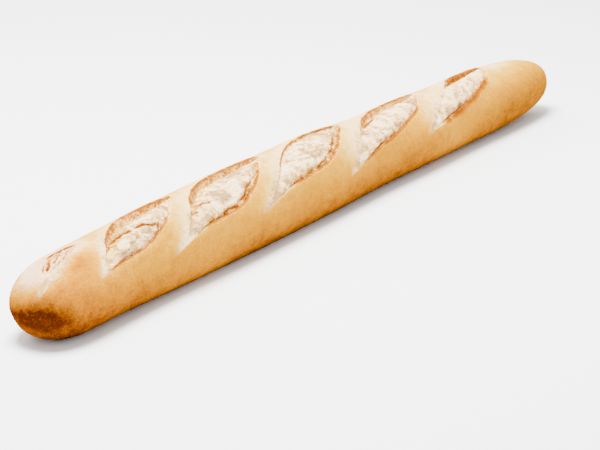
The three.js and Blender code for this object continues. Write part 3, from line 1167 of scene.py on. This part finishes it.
@dataclass(frozen=True)
class Pattern:
    """The skin's flat pattern, cut into triangles that are fine where the skin is.

    Attributes:
        skin: The skin that the pattern is for.
        cell: The side of a cell, which is one coarse step.
        plain_step: The steps on plain crust.
        shoulder_step: The steps beside a slash.
        bed_step: The steps in the opened dough.
        row_step: The steps along a slash's edge.
        outer_rows: How far outside an edge the rows of points that follow it are.
        least_reach: Rows follow a slash only where its edge lies this far from its line.
        row_margin: How far from those rows the other points keep.
        shoulder: How far from a slash its finer steps run.
        jitter: How far a point strays, as a share of its step.
        cap_girth: The ends are closed by caps where the loaf is down to this girth.
        cap_step: The steps on those caps.
        seed: The draw of the points' straying.
        CORNER: Where in its half side a cell's steps are looked up.
        SLACK: How much of a step a cell may be too large for its count of them.
        RIM_ROOM: How far from a cap's rim its points keep, in steps.
    """

    skin: Skin
    cell: float = 2.4
    plain_step: float = 2.4
    shoulder_step: float = 1.2
    bed_step: float = 0.75
    row_step: float = 0.6
    outer_rows: tuple[float, ...] = (0.0, 0.5, 1.1, 1.9)
    least_reach: float = 1.2
    row_margin: float = 0.4
    shoulder: float = 7.0
    jitter: float = 0.12
    cap_girth: float = 0.6
    cap_step: float = 2.2
    seed: int = 5

    CORNER = 0.7
    SLACK = 0.01
    RIM_ROOM = 0.6

    def _rows(self, slash: Slash) -> Iterator[tuple[Values, Values]]:
        """The rows of points along a slash's edges, as x and across."""
        steps = max(int(slash.length / self.row_step), 2)
        along = np.linspace(0.0, 1.0, steps)
        for side in Side:
            open_here = slash.edges[side].reach_at(along) >= self.least_reach
            run = (along[open_here] - 0.5) * slash.length
            edge = slash.reach_at(side, along)[open_here]
            wall = slash.edges[side].wall_at(edge)
            offsets = [edge + row for row in self.outer_rows]
            offsets += [edge - wall * step for step in self.skin.tearing.wall_steps[1:]]
            for offset in offsets:
                yield slash.on_pattern(run, side.value * offset)

    def _step_at(self, x: Values, across: Values) -> Values:
        """The wanted step at places of the pattern, and 0 where rows of points do instead."""
        step = np.full(len(x), self.plain_step)
        for slash in self.skin.slashes:
            place = slash.place(x, across)
            near, far = (edge.reach_at(place.along) >= self.least_reach for edge in (slash.near, slash.far))
            has_rows = np.where(place.near, near, far)
            in_rows = place.outside > -place.wall - self.row_margin
            in_rows &= place.outside < self.outer_rows[-1] + self.row_margin
            wanted = np.where(place.inside, self.bed_step, self.shoulder_step)
            wanted = np.where(place.outside < self.shoulder, wanted, self.plain_step)
            step = np.minimum(step, np.where(has_rows & in_rows, 0.0, wanted))
        return step

    def _lattice(self, start: float, end: float) -> tuple[Values, Values]:
        """Points inside the tube's pattern, as ways along the profile and distances across."""
        half = self.skin.form.half_round
        columns = round((end - start) / self.cell)
        lines = round(2.0 * half / self.cell)
        ways = start + (np.arange(columns) + 0.5) * (end - start) / columns
        acrosses = -half + (np.arange(lines) + 0.5) * 2.0 * half / lines
        middles = np.array(list(itertools.product(ways, acrosses)))
        reach = self.cell / 2.0
        spots = itertools.product((-self.CORNER, 0.0, self.CORNER), repeat=2)
        corners = [middles + reach * np.array(spot) for spot in spots]
        x_at = self.skin.form.x_at
        steps = [self._step_at(x_at(corner[:, 0]), corner[:, 1]) for corner in corners]
        finest = np.min([np.where(step > 0.0, step, np.inf) for step in steps], axis=0)
        counts = np.ceil(self.cell / np.minimum(finest, self.cell) - self.SLACK).astype(int)
        draw = np.random.default_rng(self.seed)
        parts = []
        for count in np.unique(counts):
            chosen = middles[counts == count]
            inner = (np.arange(count) + 0.5) / count - 0.5
            spots = np.array(list(itertools.product(inner, inner))) * self.cell
            points = (chosen[:, None, :] + spots[None, :, :]).reshape(-1, 2)
            straying = draw.uniform(-1.0, 1.0, points.shape) * self.jitter * self.cell / count
            parts.append(points + straying)
        points = np.concatenate(parts)
        kept = self._step_at(x_at(points[:, 0]), points[:, 1]) > 0.0
        return points[kept, 0], points[kept, 1]

    def _tube(self, start: float, end: float) -> tuple[Values, Triangles]:
        """The pattern between the two caps, as points and triangles."""
        form = self.skin.form
        half = form.half_round
        points = [np.column_stack(self._lattice(start, end))]
        columns = round((end - start) / self.cell)
        seam = np.linspace(start, end, columns + 1)
        for across in (-half, half):
            points.append(np.column_stack((seam, np.full(len(seam), across))))
        ring = self._ring()[1:-1]
        for way in (start, end):
            points.append(np.column_stack((np.full(len(ring), way), ring)))
        count = sum(len(part) for part in points)
        constraints: list[tuple[int, int]] = []
        for slash in self.skin.slashes:
            for x, across in self._rows(slash):
                points.append(np.column_stack((form.way_to(x), across)))
                constraints += [(i, i + 1) for i in range(count, count + len(x) - 1)]
                count += len(x)
        return triangulated(np.concatenate(points), constraints)

    def _ring(self) -> Values:
        """The distances across of the ring of points where a cap meets the tube."""
        half = self.skin.form.half_round
        return np.linspace(-half, half, round(2.0 * half / self.cell) + 1)

    def _cap(self, radius: float) -> tuple[Values, Values, Triangles]:
        """One end's cap, as ways from the tip, distances across, and triangles."""
        turns = self._ring()[:-1] / self.skin.form.radius
        rim = np.column_stack((np.cos(turns), np.sin(turns))) * radius
        steps = int(radius / self.cap_step) + 1
        axis = np.arange(-steps, steps + 1) * self.cap_step
        inner = np.array([(a + self.cap_step * (j % 2) / 2.0, b) for j, b in enumerate(axis) for a in axis])
        inner = inner[np.hypot(inner[:, 0], inner[:, 1]) < radius - self.RIM_ROOM * self.cap_step]
        spots, faces = triangulated(np.concatenate((rim, inner)))
        ways = np.hypot(spots[:, 0], spots[:, 1])
        across = np.arctan2(spots[:, 1], spots[:, 0]) * self.skin.form.radius
        return np.minimum(ways, radius), across, faces

    def cut(self) -> tuple[Values, Values, Triangles]:
        """The whole pattern.

        Returns:
            Its points' x and across, and its triangles. Points at the seams are doubled.
        """
        form = self.skin.form
        start, end = form.way_at_girth(self.cap_girth)
        tube, faces = self._tube(start, end)
        ways, acrosses = [tube[:, 0]], [tube[:, 1]]
        count = len(tube)
        for radius, at_far in ((start, False), (form.profile_length - end, True)):
            from_tip, across, cap_faces = self._cap(radius)
            ways.append(form.profile_length - from_tip if at_far else from_tip)
            acrosses.append(across)
            faces += [tuple(i + count for i in face) for face in cap_faces]
            count += len(from_tip)
        return form.x_at(np.concatenate(ways)), np.concatenate(acrosses), faces


@dataclass(frozen=True)
class Baguette:
    """The loaf as one closed mesh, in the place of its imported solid.

    Attributes:
        skin: The skin that it has.
        name: The piece's name.
        SHIFT_STEPS: How many places along the loaf its shift is worked out from.
    """

    skin: Skin
    name: str = "baguette"

    SHIFT_STEPS = 1201

    def build(self, material: bpy.types.Material) -> bpy.types.Object:
        """Makes the loaf.

        Args:
            material: Its finish.

        Returns:
            The loaf's object, at the origin.
        """
        x, across, faces = Pattern(self.skin).cut()
        shape = self.skin.shape(x, across)
        points = self.in_frame(shape.points)
        mesh = bpy.data.meshes.new(self.name)
        mesh.from_pydata(points.tolist(), [], faces)
        for name, values in shape.masks.items():
            layer = mesh.attributes.new(name, "FLOAT", "POINT")
            layer.data.foreach_set("value", values)
        self._close(mesh)
        mesh.materials.append(material)
        return placed(self.name, mesh)

    def _close(self, mesh: bpy.types.Mesh) -> None:
        """Closes the mesh's seams, turns its faces outwards and shades it smooth."""
        work = bmesh.new()
        work.from_mesh(mesh)
        bmesh.ops.remove_doubles(work, verts=work.verts, dist=SAME_SPOT)
        bmesh.ops.dissolve_degenerate(work, edges=work.edges, dist=SAME_SPOT)
        bmesh.ops.recalc_face_normals(work, faces=work.faces)
        for face in work.faces:
            face.smooth = True
        open_edges = sum(not edge.is_manifold for edge in work.edges)
        LOG.info("%s: %d triangles, %d open edges", self.name, len(work.faces), open_edges)
        work.to_mesh(mesh)
        work.free()

    def in_frame(self, points: Values) -> Values:
        """Points of the skin, from millimetres to metres in the frame."""
        return (points + (0.0, self.shift, 0.0)) * MM

    @cached_property
    def shift(self) -> float:
        """How far +Y the skin moves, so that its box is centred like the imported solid's."""
        form = self.skin.form
        x = np.linspace(-0.5, 0.5, self.SHIFT_STEPS) * form.length
        sides = [form.smooth(x, np.full(len(x), turn * form.half_round))[:, 1] for turn in (-0.5, 0.5)]
        return -float(np.max(sides) + np.min(sides)) / 2.0


class Bench:
    """Makes the nodes of one node tree."""

    def __init__(self, tree: bpy.types.NodeTree) -> None:
        """Takes over a tree.

        Args:
            tree: The tree, whose nodes are cleared.
        """
        tree.nodes.clear()
        self.tree = tree

    def node(self, kind: str, settings: dict[str, Any] | None = None, **values: Any) -> bpy.types.Node:
        """Adds a node.

        Args:
            kind: The node's type.
            settings: Its own settings, set before its sockets are.
            values: Its sockets' values or links. A name's underscores stand for spaces, and a
                name that starts with "at_" ends with the socket's number.

        Returns:
            The node.
        """
        node = self.tree.nodes.new(kind)
        for name, value in (settings or {}).items():
            if name == "stops":
                self._set_stops(node, value)
            else:
                setattr(node, name, value)
        for name, value in values.items():
            key = int(name[3:]) if name.startswith("at_") else name.replace("_", " ")
            self.feed(node.inputs[key], value)
        return node

    def feed(self, socket: bpy.types.NodeSocket, value: Any) -> None:
        """Links a value to a socket, or sets it there."""
        if isinstance(value, Wire):
            self.tree.links.new(value.socket, socket)
        elif isinstance(value, bpy.types.NodeSocket):
            self.tree.links.new(value, socket)
        elif isinstance(value, tuple) and len(value) == 3 and socket.type == "RGBA":
            socket.default_value = (*value, 1.0)
        else:
            socket.default_value = value

    @staticmethod
    def _set_stops(node: bpy.types.Node, stops: Sequence[tuple[float, Colour]]) -> None:
        """Sets a colour ramp's stops."""
        elements = node.color_ramp.elements
        while len(elements) < len(stops):
            elements.new(1.0)
        for element, (position, colour) in zip(elements, stops):
            element.position = position
            element.color = (*colour, 1.0)

    def wire(
        self, kind: str, settings: dict[str, Any] | None = None, out: int | str = 0, **values: Any
    ) -> Wire:
        """Adds a node and gives one of its outputs."""
        return Wire(self, self.node(kind, settings, **values).outputs[out])

    def mask(self, name: str) -> Wire:
        """One of the mesh's own masks."""
        return self.wire("ShaderNodeAttribute", {"attribute_name": name}, out="Fac")

    def mix(self, share: Any, first: Any, second: Any, kind: str = "MIX") -> Wire:
        """The first colour with a share of the second mixed in."""
        settings = {"data_type": "RGBA", "clamp_factor": True, "blend_type": kind}
        return self.wire("ShaderNodeMix", settings, out=2, at_0=share, at_6=first, at_7=second)

    def ramp(self, value: Any, stops: Sequence[tuple[float, Colour]]) -> Wire:
        """A colour picked from a ramp."""
        return self.wire("ShaderNodeValToRGB", {"stops": stops}, Fac=value)

    def noise(self, where: Any, scale: float, detail: float = 2.0, rough: float = 0.5) -> Wire:
        """Noise around 0.5."""
        return self.wire("ShaderNodeTexNoise", Vector=where, Scale=scale, Detail=detail, Roughness=rough)

    def surface(self, **values: Any) -> None:
        """Adds the shader, with its sockets' values or links, and leads it to the output."""
        shader = self.node("ShaderNodeBsdfPrincipled", **values)
        self.node("ShaderNodeOutputMaterial", Surface=shader.outputs["BSDF"])

    def named(self, name: Any) -> Wire:
        """One of the geometry's own numbers, in a Geometry Nodes tree."""
        return self.wire("GeometryNodeInputNamedAttribute", {"data_type": "FLOAT"}, Name=name)

    def random(self, least: Any, most: Any, seed: Any) -> Wire:
        """A number drawn for each point between the least and the most."""
        return self.wire(
            "FunctionNodeRandomValue", {"data_type": "FLOAT"}, out=1, at_2=least, at_3=most, at_8=seed
        )


class Wire:
    """A value in a node tree. Arithmetic on wires adds Math nodes."""

    def __init__(self, bench: Bench, socket: bpy.types.NodeSocket) -> None:
        """Wraps an output.

        Args:
            bench: The bench that its tree is made on.
            socket: The output.
        """
        self.bench = bench
        self.socket = socket

    def _math(self, operation: str, first: Any, second: Any = 0.0, clamp: bool = False) -> Wire:
        """A Math node's result."""
        settings = {"operation": operation, "use_clamp": clamp}
        return self.bench.wire("ShaderNodeMath", settings, at_0=first, at_1=second)

    def __add__(self, other: Any) -> Wire:
        """self + other."""
        return self._math("ADD", self, other)

    __radd__ = __add__

    def __sub__(self, other: Any) -> Wire:
        """self - other."""
        return self._math("SUBTRACT", self, other)

    def __rsub__(self, other: Any) -> Wire:
        """other - self."""
        return self._math("SUBTRACT", other, self)

    def __mul__(self, other: Any) -> Wire:
        """self * other."""
        return self._math("MULTIPLY", self, other)

    __rmul__ = __mul__

    def clamped(self) -> Wire:
        """The value, held between 0 and 1."""
        return self._math("ADD", self, 0.0, clamp=True)

    def between(self, start: float, end: float) -> Wire:
        """How far the value has come from start to end, held between 0 and 1."""
        return ((self - start) * (1.0 / (end - start))).clamped()


def weighed(values: Sequence[Wire], weights: Sequence[float]) -> Wire:
    """The sum of values, each times its weight."""
    first, *others = (value * weight for value, weight in zip(values, weights))
    return sum(others, start=first)


def display_colour(red: int, green: int, blue: int) -> Colour:
    """A colour as a screen shows it, from 0 to 255, in the light's own scale."""

    def light(value: int) -> float:
        """One channel."""
        share = value / 255.0
        return share / 12.92 if share <= 0.04045 else ((share + 0.055) / 1.055) ** 2.4

    return light(red), light(green), light(blue)


def palette(*rows: tuple[float, int, int, int]) -> tuple[tuple[float, Colour], ...]:
    """A ramp's stops, from rows of a position and a display colour."""
    return tuple((position, display_colour(*colour)) for position, *colour in rows)


def new_material(name: str) -> tuple[bpy.types.Material, Bench]:
    """A new material, and the bench for its nodes."""
    material = bpy.data.materials.new(name)
    material.use_nodes = True
    return material, Bench(material.node_tree)


@dataclass(frozen=True)
class LoafFinish:
    """Crust, toasted lips, torn crumb and opened dough.

    Attributes:
        crust: The crust's colours from raw to deepest brown.
        toast: The browned lips' colours, from the lightest to the darkest. They also paint shade into the
            dough's creases.
        crumb: The torn walls' colours.
        dough: The opened dough's colours, from its hollows to the flour on its hills.
        blush: What the crust's colour is multiplied by at the near end.
        gloss: How strongly it mirrors the light.
        name: The material's name.
        BROAD: The noise of whole areas: its scale, its detail and its roughness.
        BLOTCHES: The noise of blotches.
        FINE: The finest noise.
        SWIRL: The noise of the flour.
        SPECKS: The noise of the dark specks.
        SPECK_EDGE: The values of that noise over which a speck starts.
        CRUST_MIX: What the broad, blotchy and fine noise and the specks add to the bake.
        EVENNESS: How the bake evens the crust out: a share, and what the near end adds to it.
        UNEVENNESS: How uneven raw crust is, and what the near end adds to that.
        FLOUR_MIX: What the swirl, blotches and fine noise add to the flour.
        FLOUR_MEAN: The flour's mean.
        FLOUR_TAIL: How much less flour there is at a slash's tail.
        CRUMB_MIX: What the blotches and the fine noise add to the crumb.
        CRUMB_MEAN: The crumb's mean.
        CRUMB_SHARE: How far the crumb's colour covers the flour's.
        TOAST_MIX: What the blotches and the fine noise add to the toast.
        TOAST_FRAY: How far the fine noise frays the toast's edge.
        TOAST_EDGE: The values over which the toast covers what is under it.
        BUMP: The relief's strength and its height in metres.
        FINE_RELIEF: The fine noise's share of it on crust, and what dough adds to that.
        BLOTCH_RELIEF: The blotches' share on crust, and what dough adds.
        SPECK_RELIEF: The specks' share.
        ROUGHNESS: The roughness of the crust, and what the dough and the fine noise add to it.
    """

    crust: tuple[tuple[float, Colour], ...] = palette(
        (0.0, 233, 194, 132),
        (0.12, 222, 178, 100),
        (0.26, 209, 161, 62),
        (0.38, 201, 147, 32),
        (0.48, 194, 132, 8),
        (0.58, 184, 122, 0),
        (0.68, 170, 109, 0),
        (0.77, 152, 94, 0),
        (0.85, 131, 75, 0),
        (0.92, 106, 55, 2),
        (0.97, 82, 36, 4),
        (1.0, 64, 26, 4),
    )
    toast: tuple[tuple[float, Colour], ...] = palette(
        (0.0, 190, 128, 0), (0.5, 168, 100, 0), (1.0, 118, 58, 0)
    )
    crumb: tuple[tuple[float, Colour], ...] = palette(
        (0.3, 156, 106, 0), (0.5, 208, 152, 36), (0.7, 244, 196, 102)
    )
    dough: tuple[tuple[float, Colour], ...] = palette(
        (0.26, 168, 132, 86), (0.48, 222, 180, 122), (0.66, 252, 220, 166)
    )
    blush: Colour = (1.0, 0.9, 1.3)
    gloss: float = 0.0
    name: str = "baked crust and dough"

    BROAD = (38.0, 3.0, 0.5)
    BLOTCHES = (180.0, 3.0, 0.6)
    FINE = (650.0, 3.0, 0.6)
    SWIRL = (90.0, 4.0, 0.55)
    SPECKS = (1300.0, 1.0, 0.5)
    SPECK_EDGE = (0.6, 0.72)
    CRUST_MIX = (0.35, 0.5, 0.5, -0.16)
    EVENNESS = (0.87, 0.5)
    UNEVENNESS = (1.2, 0.5)
    FLOUR_MIX = (1.5, 0.9, 0.7)
    FLOUR_MEAN = 0.56
    FLOUR_TAIL = 0.12
    CRUMB_MIX = (1.6, 2.0)
    CRUMB_MEAN = 0.5
    CRUMB_SHARE = 0.8
    TOAST_MIX = (0.6, 0.6)
    TOAST_FRAY = 0.7
    TOAST_EDGE = (0.22, 0.5)
    BUMP = (0.8, 0.0009)
    FINE_RELIEF = (0.7, 0.2)
    BLOTCH_RELIEF = (0.6, 0.9)
    SPECK_RELIEF = 0.1
    ROUGHNESS = (0.55, 0.3, 0.2)

    def build(self) -> bpy.types.Material:
        """Makes the material."""
        material, bench = new_material(self.name)
        where = bench.wire("ShaderNodeTexCoord", out="Object")
        names = ("bake", "blush", "dough", "tail", "wall", "toast")
        bake, blush, dough, tail, wall, toast = (bench.mask(name) for name in names)
        scales = (self.BROAD, self.BLOTCHES, self.FINE, self.SWIRL)
        broad, blotch, fine, swirl = (bench.noise(where, *scale) - 0.5 for scale in scales)
        specks = bench.noise(where, *self.SPECKS).between(*self.SPECK_EDGE)

        even, near_even = self.EVENNESS
        raw, near_raw = self.UNEVENNESS
        uneven = weighed((broad, blotch, fine, specks), self.CRUST_MIX)
        # The bake mask holds the oven's browning and painted shade on the loaf's low side.
        baked = bake + uneven * (blush * near_raw + raw - bake * (blush * near_even + even))
        crust = bench.ramp(baked.clamped(), self.crust)
        crust = bench.mix(blush, crust, self.blush, "MULTIPLY")
        white = weighed((swirl, blotch, fine), self.FLOUR_MIX) + self.FLOUR_MEAN
        flour = bench.ramp(white - tail * self.FLOUR_TAIL, self.dough)
        crumb = bench.ramp(weighed((blotch, fine), self.CRUMB_MIX) + self.CRUMB_MEAN, self.crumb)
        # The toast colours: browned lips, and painted shade in the dough's creases.
        browned = bench.ramp((toast + weighed((blotch, fine), self.TOAST_MIX)).clamped(), self.toast)
        colour = bench.mix(dough, crust, bench.mix(wall * self.CRUMB_SHARE, flour, crumb))
        colour = bench.mix((toast + fine * self.TOAST_FRAY).between(*self.TOAST_EDGE), colour, browned)

        crust_rough, dough_rough, fine_rough = self.ROUGHNESS
        fine_relief = fine * (dough * self.FINE_RELIEF[1] + self.FINE_RELIEF[0])
        blotch_relief = blotch * (dough * self.BLOTCH_RELIEF[1] + self.BLOTCH_RELIEF[0])
        bump = bench.node(
            "ShaderNodeBump", Strength=self.BUMP[0], Distance=self.BUMP[1],
            Height=fine_relief + blotch_relief + specks * self.SPECK_RELIEF,
        )
        bench.surface(
            Base_Color=colour,
            Roughness=dough * dough_rough + fine * fine_rough + crust_rough,
            Specular_IOR_Level=self.gloss,
            Normal=bump.outputs["Normal"],
        )
        return material


@dataclass(frozen=True)
class Strewn:
    """Grains, blisters or flakes that a Geometry Nodes tree strews over the loaf's skin.

    Attributes:
        name: The piece's name.
        mask: The mask that they keep to.
        density: The most of them on a square metre.
        apart: The least distance between two of them, in millimetres.
        smallest: The smallest one's radius, in millimetres.
        largest: The largest one's radius, in millimetres.
        form: How long, broad and high one is for its radius.
        tilt: How far one leans, in radians.
        bake: What is added to the skin's bake on it.
        toast: The most that is added to the skin's toast on it.
        rounding: How often its ball's faces are halved.
        seed: The draw of their places.
    """

    name: str
    mask: str
    density: float
    apart: float
    smallest: float
    largest: float
    form: tuple[float, float, float]
    tilt: float = 0.0
    bake: float = 0.0
    toast: float = 0.0
    rounding: int = 1
    seed: int = 3

    def build(self, loaf: bpy.types.Object, material: bpy.types.Material) -> bpy.types.Object:
        """Strews them over the loaf.

        Args:
            loaf: The loaf, with its masks.
            material: Their finish.

        Returns:
            Their object, as one plain mesh.
        """
        piece = placed(self.name, loaf.data)
        inputs = self._inputs(material)
        modifier = piece.modifiers.new(self.name, "NODES")
        modifier.node_group = self._tree(inputs)
        for item in modifier.node_group.interface.items_tree:
            if item.in_out == "INPUT" and item.name in inputs:
                modifier[item.identifier] = inputs[item.name][1]
        evaluated = piece.evaluated_get(bpy.context.evaluated_depsgraph_get())
        mesh = bpy.data.meshes.new_from_object(evaluated)
        piece.modifiers.remove(modifier)
        piece.data = mesh
        LOG.info("%s: %d triangles", self.name, len(mesh.polygons))
        return piece

    def _inputs(self, material: bpy.types.Material) -> dict[str, tuple[str, Any]]:
        """The tree's own inputs: each one's kind and value, by its label."""
        return {
            "Mask": ("String", self.mask),
            "Density": ("Float", self.density),
            "Apart": ("Float", self.apart * MM),
            "Smallest": ("Float", self.smallest * MM),
            "Largest": ("Float", self.largest * MM),
            "Form": ("Vector", self.form),
            "Tilt": ("Float", self.tilt),
            "Bake": ("Float", self.bake),
            "Toast": ("Float", self.toast),
            "Rounding": ("Int", self.rounding),
            "Seed": ("Int", self.seed),
            "Material": ("Material", material),
        }

    def _tree(self, inputs: dict[str, tuple[str, Any]]) -> bpy.types.NodeTree:
        """The tree that strews them over the geometry that it is given."""
        tree = bpy.data.node_groups.new(self.name, "GeometryNodeTree")
        tree.interface.new_socket("Geometry", in_out="INPUT", socket_type="NodeSocketGeometry")
        for label, (kind, _) in inputs.items():
            tree.interface.new_socket(label, in_out="INPUT", socket_type=f"NodeSocket{kind}")
        tree.interface.new_socket("Geometry", in_out="OUTPUT", socket_type="NodeSocketGeometry")
        bench = Bench(tree)
        given = bench.node("NodeGroupInput").outputs
        spots = bench.node(
            "GeometryNodeDistributePointsOnFaces", {"distribute_method": "POISSON"},
            Mesh=given["Geometry"], Distance_Min=given["Apart"], Density_Max=given["Density"],
            Density_Factor=bench.named(given["Mask"]), Seed=given["Seed"],
        ).outputs
        points = spots["Points"]
        seed = Wire(bench, given["Seed"])
        toast = bench.random(0.0, given["Toast"], seed + 1.0)
        for name, extra in (("bake", given["Bake"]), ("toast", toast)):
            points = bench.wire(
                "GeometryNodeStoreNamedAttribute", {"data_type": "FLOAT", "domain": "POINT"},
                Geometry=points, Name=name, Value=bench.named(name) + extra,
            )
        ball = bench.wire("GeometryNodeMeshIcoSphere", Radius=1.0, Subdivisions=given["Rounding"])
        size = bench.random(given["Smallest"], given["Largest"], seed + 2.0)
        scale = bench.wire("ShaderNodeVectorMath", {"operation": "SCALE"}, Vector=given["Form"], Scale=size)
        strewn = bench.wire(
            "GeometryNodeInstanceOnPoints",
            Points=points, Instance=ball, Rotation=spots["Rotation"], Scale=scale,
        )
        lean = bench.random(-0.5, 0.5, seed + 3.0) * given["Tilt"]
        spin = bench.random(0.0, math.tau, seed + 4.0)
        turn = bench.wire("ShaderNodeCombineXYZ", X=lean, Z=spin)
        turned = bench.wire("GeometryNodeRotateInstances", Instances=strewn, Rotation=turn)
        plain = bench.wire("GeometryNodeRealizeInstances", Geometry=turned)
        smooth = bench.wire("GeometryNodeSetShadeSmooth", Geometry=plain)
        dressed = bench.wire("GeometryNodeSetMaterial", Geometry=smooth, Material=given["Material"])
        bench.node("NodeGroupOutput", Geometry=dressed)
        return tree


STREWN = (
    Strewn("blisters", "blistered", 90000.0, 1.5, 0.3, 0.8, (1.0, 0.85, 0.25), bake=-0.06, seed=4),
    Strewn("flour", "dough", 320000.0, 0.8, 0.22, 0.55, (1.0, 0.8, 0.7), tilt=0.6, toast=0.4, seed=7),
    Strewn("flakes", "toast", 90000.0, 1.8, 0.5, 1.2, (1.0, 0.6, 0.3), tilt=0.8, seed=9),
)


@dataclass(frozen=True)
class FloorFinish:
    """A plain pale floor.

    Attributes:
        colour: Its colour.
        roughness: How dull it is.
        grain: How much that varies.
        grain_scale: The scale of its variation.
        name: The material's name.
    """

    colour: Colour = display_colour(247, 247, 246)
    roughness: float = 0.7
    grain: float = 0.05
    grain_scale: float = 300.0
    name: str = "pale floor"

    def build(self) -> bpy.types.Material:
        """Makes the material."""
        material, bench = new_material(self.name)
        grain = bench.noise(bench.wire("ShaderNodeTexCoord", out="Object"), self.grain_scale) - 0.5
        bench.surface(Base_Color=self.colour, Roughness=grain * self.grain + self.roughness)
        return material


@dataclass(frozen=True)
class Softbox:
    """A square lamp that faces the loaf.

    Attributes:
        name: Its name.
        place: Where it hangs, in metres.
        side: The length of its side, in metres.
        power: Its power in watts.
    """

    name: str
    place: tuple[float, float, float]
    side: float
    power: float

    def build(self, target: Vector) -> None:
        """Hangs the lamp, facing the target."""
        lamp = bpy.data.lights.new(self.name, "AREA")
        lamp.shape = "SQUARE"
        lamp.size = self.side
        lamp.energy = self.power
        holder = placed(self.name, lamp)
        holder.location = self.place
        holder.rotation_euler = (target - Vector(self.place)).to_track_quat("-Z", "Y").to_euler()


@dataclass(frozen=True)
class Studio:
    """The floor, the lamps and the camera.

    Attributes:
        azimuth: The camera's direction in degrees: 0 looks along +Y, and more is turned to +X.
        elevation: How far the camera looks down, in degrees.
        roll: How far it is tipped, in degrees.
        distance: From the camera to the plane through the loaf's middle, in metres.
        aside: How far right of the picture's middle the loaf's middle is, in metres.
        above: How far above the picture's middle the floor under it is, in metres.
        lens: The focal length, in millimetres.
        sensor: The sensor's width, in millimetres.
        floor_side: The length of the floor's side, in metres.
        ambient: How strong the light from all round is.
        softboxes: The lamps.
    """

    azimuth: float = -53.42
    elevation: float = 18.91
    roll: float = -2.31
    distance: float = 1.412
    aside: float = 0.015
    above: float = 0.0115
    lens: float = 120.0
    sensor: float = 36.0
    floor_side: float = 12.0
    ambient: float = 1.5
    softboxes: tuple[Softbox, ...] = (
        Softbox("key softbox", (-0.1, 0.1, 1.25), 0.6, 92.0),
        Softbox("back softbox", (0.5, 1.1, 0.8), 0.8, 14.0),
    )

    def build(self, origin: Vector) -> None:
        """Sets up the studio.

        Args:
            origin: The point on the floor that the camera's distance and offsets start from.
        """
        self._camera(origin)
        for softbox in self.softboxes:
            softbox.build(origin)
        self._floor()
        world = bpy.data.worlds.new("studio air")
        world.use_nodes = True
        bench = Bench(world.node_tree)
        air = bench.node("ShaderNodeBackground", Color=(1.0, 1.0, 1.0), Strength=self.ambient)
        bench.node("ShaderNodeOutputWorld", Surface=air.outputs["Background"])
        bpy.context.scene.world = world

    def _camera(self, origin: Vector) -> None:
        """Places the camera and makes it the scene's."""
        azimuth, elevation, roll = (math.radians(a) for a in (self.azimuth, self.elevation, self.roll))
        back = Vector((
            math.sin(azimuth) * math.cos(elevation),
            -math.cos(azimuth) * math.cos(elevation),
            math.sin(elevation),
        ))
        level = Vector((math.cos(azimuth), math.sin(azimuth), 0.0))
        upright = back.cross(level)
        right = level * math.cos(roll) + upright * math.sin(roll)
        up = upright * math.cos(roll) - level * math.sin(roll)
        place = origin + back * self.distance - right * self.aside - up * self.above
        lens = bpy.data.cameras.new("camera")
        lens.lens = self.lens
        lens.sensor_width = self.sensor
        camera = placed("camera", lens)
        turn = Matrix((right, up, back)).transposed().to_4x4()
        camera.matrix_world = Matrix.Translation(place) @ turn
        bpy.context.scene.camera = camera

    def _floor(self) -> None:
        """Lays the floor."""
        half = self.floor_side / 2.0
        mesh = bpy.data.meshes.new("floor")
        corners = [(-half, -half, 0.0), (half, -half, 0.0), (half, half, 0.0), (-half, half, 0.0)]
        mesh.from_pydata(corners, [], [(0, 1, 2, 3)])
        mesh.materials.append(FloorFinish().build())
        placed("floor", mesh)


def main() -> None:
    """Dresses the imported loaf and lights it."""
    logging.basicConfig(level=logging.INFO, format="%(name)s: %(message)s")
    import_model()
    low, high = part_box(NODE)
    skin = Skin(LoafForm(length=(high[0] - low[0]) / MM))
    baguette = Baguette(skin)
    Studio().build(Vector((0.0, baguette.shift * MM, 0.0)))
    finish = LoafFinish().build()
    loaf = baguette.build(finish)
    pieces = [loaf] + [strewn.build(loaf, finish) for strewn in STREWN]
    for piece in pieces:
        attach(piece, BODY)
        LOG.info("%s is dressed", piece.name)
    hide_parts(NODE)


if __name__ == "__main__":
    main()
